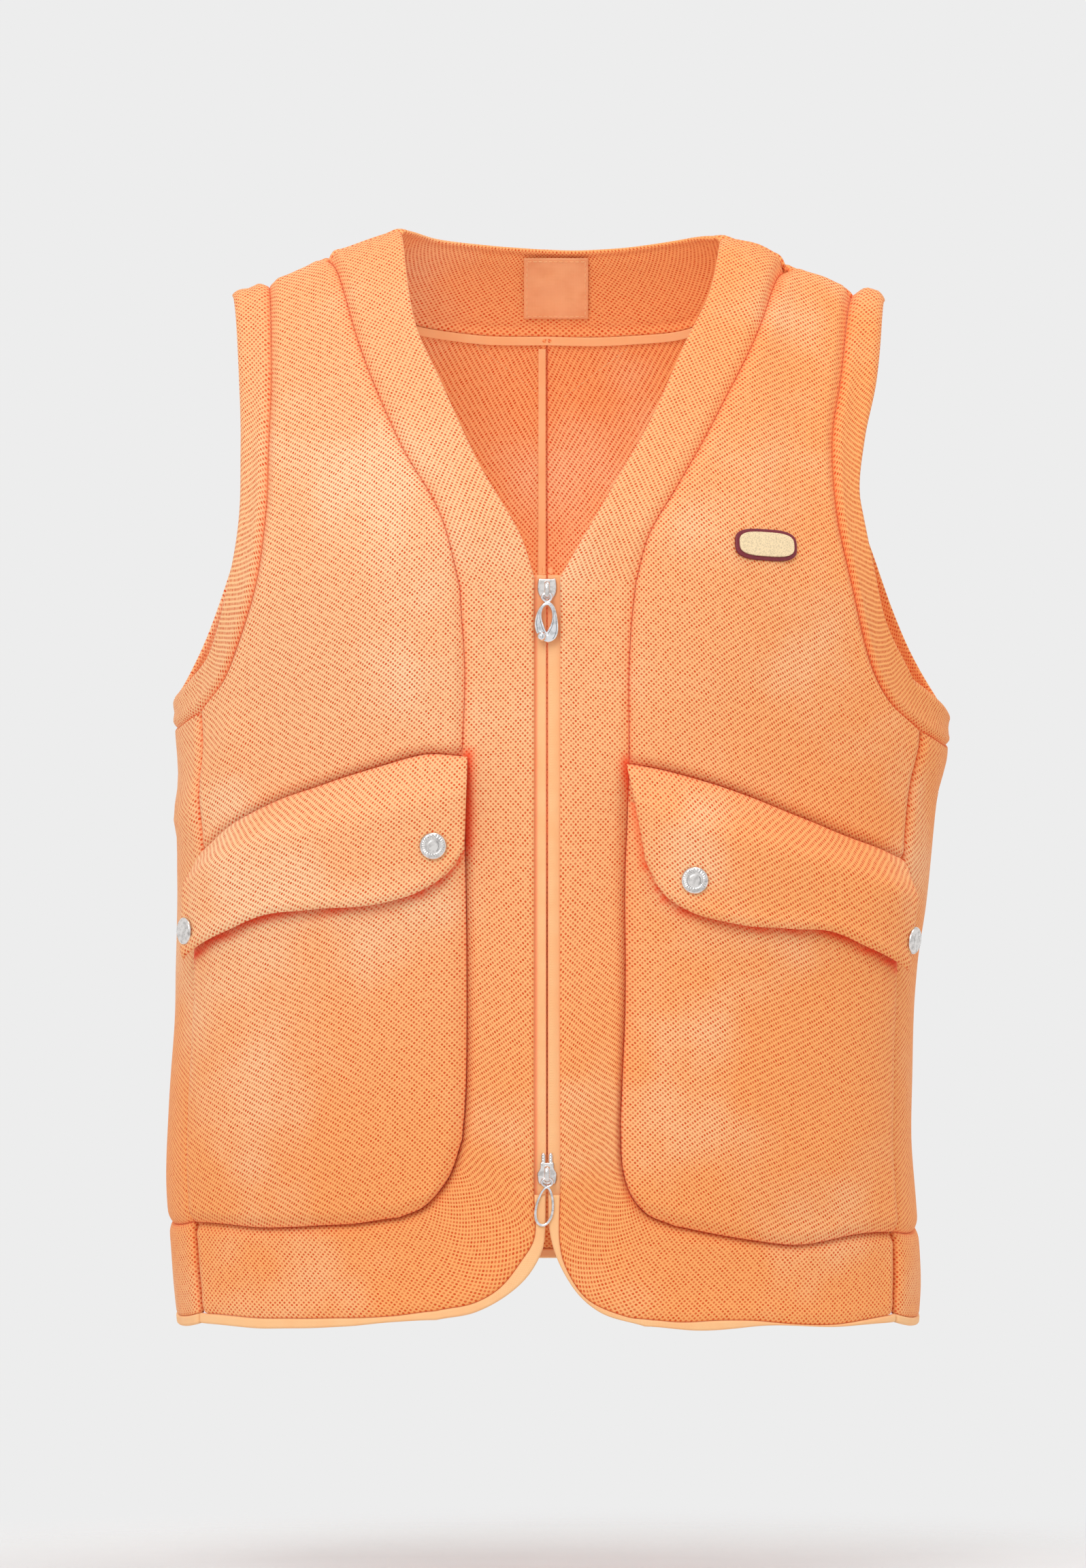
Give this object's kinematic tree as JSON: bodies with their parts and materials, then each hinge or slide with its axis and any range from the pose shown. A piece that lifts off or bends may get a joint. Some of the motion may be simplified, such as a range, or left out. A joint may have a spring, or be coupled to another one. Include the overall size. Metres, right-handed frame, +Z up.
{
  "type": "zip vest",
  "caption": "Sleeveless V-neck vest in thick spacer mesh with a two-way front zip, bound hem, and wide patch pockets under snap-down flaps.",
  "frame": {"origin": "on the centre line, level with the top of the shoulder line and over the middle of the body, where a wearer's shoulders hold the vest up", "axes": "+Z up, the front faces -Y, +X towards the wearer's left"},
  "size_m": [0.4262, 0.2269, 0.5984],
  "materials": {
    "spacer_mesh": "pale orange spacer mesh, matt, open diamond knit",
    "woven_tape": "plain pale orange woven tape, matt",
    "zip_coil": "dyed nylon coil",
    "label_cloth": "blank woven label, slightly glossy",
    "plated_metal": "nickel plate, satin",
    "polished_metal": "bright plate, polished",
    "badge_rubber": "soft moulding, dark red",
    "badge_face": "raised moulding, cream"
  },
  "bodies": {
    "vest": {"right_chest_panel": "spacer_mesh", "left_chest_panel": "spacer_mesh", "right_lower_panel": "spacer_mesh", "left_lower_panel": "spacer_mesh", "right_front_band": "spacer_mesh", "left_front_band": "spacer_mesh", "right_armhole_band": "spacer_mesh", "left_armhole_band": "spacer_mesh", "right_back_panel": "spacer_mesh", "left_back_panel": "spacer_mesh", "back_neck_band": "spacer_mesh", "back_hem_band": "spacer_mesh", "right_pocket": "spacer_mesh", "left_pocket": "spacer_mesh", "right_hem_binding": "woven_tape", "left_hem_binding": "woven_tape", "back_hem_binding": "woven_tape", "back_neck_tape": "woven_tape", "centre_back_tape": "woven_tape", "neck_label": "label_cloth", "chest_badge_base": "badge_rubber", "chest_badge_face": "badge_face", "right_zip_tape": "woven_tape", "left_zip_tape": "woven_tape", "right_zip_coil": "zip_coil", "left_zip_coil": "zip_coil", "right_top_stop": "plated_metal", "left_top_stop": "plated_metal", "right_zip_pin": "plated_metal", "left_zip_pin": "plated_metal", "right_inner_snap_stud": "plated_metal", "right_inner_snap_post": "plated_metal", "right_outer_snap_stud": "plated_metal", "right_outer_snap_post": "plated_metal", "left_inner_snap_stud": "plated_metal", "left_inner_snap_post": "plated_metal", "left_outer_snap_stud": "plated_metal", "left_outer_snap_post": "plated_metal"},
    "top_slider": {"top_slider_body": "plated_metal", "top_slider_bridge": "plated_metal"},
    "top_pull": {"top_pull": "polished_metal"},
    "bottom_slider": {"bottom_slider_body": "plated_metal", "bottom_slider_bridge": "plated_metal"},
    "bottom_pull": {"bottom_pull": "polished_metal"},
    "right_flap": {"right_pocket_flap": "spacer_mesh", "right_inner_snap_cap": "plated_metal", "right_inner_snap_socket": "plated_metal", "right_outer_snap_cap": "plated_metal", "right_outer_snap_socket": "plated_metal"},
    "left_flap": {"left_pocket_flap": "spacer_mesh", "left_inner_snap_cap": "plated_metal", "left_inner_snap_socket": "plated_metal", "left_outer_snap_cap": "plated_metal", "left_outer_snap_socket": "plated_metal"}
  },
  "joints": [
    {"name": "top_slider_slide", "type": "slide", "parent": "vest", "child": "top_slider", "axis": [0, 0, 1], "range_m": [-0.274, 0]},
    {"name": "top_pull_hinge", "type": "hinge", "parent": "top_slider", "child": "top_pull", "pos_m": [0, -0.1095, -0.196], "axis": [-1, 0, 0], "range_deg": [0, 120]},
    {"name": "bottom_slider_slide", "type": "slide", "parent": "vest", "child": "bottom_slider", "axis": [0, 0, 1], "range_m": [0, 0.28]},
    {"name": "bottom_pull_hinge", "type": "hinge", "parent": "bottom_slider", "child": "bottom_pull", "pos_m": [0, -0.1095, -0.5121], "axis": [-1, 0, 0], "range_deg": [0, 120]},
    {"name": "right_flap_hinge", "type": "hinge", "parent": "vest", "child": "right_flap", "pos_m": [-0.1332, -0.0916, -0.3034], "axis": [-0.8736, 0.3862, -0.2962], "range_deg": [0, 75]},
    {"name": "left_flap_hinge", "type": "hinge", "parent": "vest", "child": "left_flap", "pos_m": [0.1374, -0.0914, -0.3172], "axis": [-0.8652, -0.3561, 0.3531], "range_deg": [0, 75]}
  ]
}
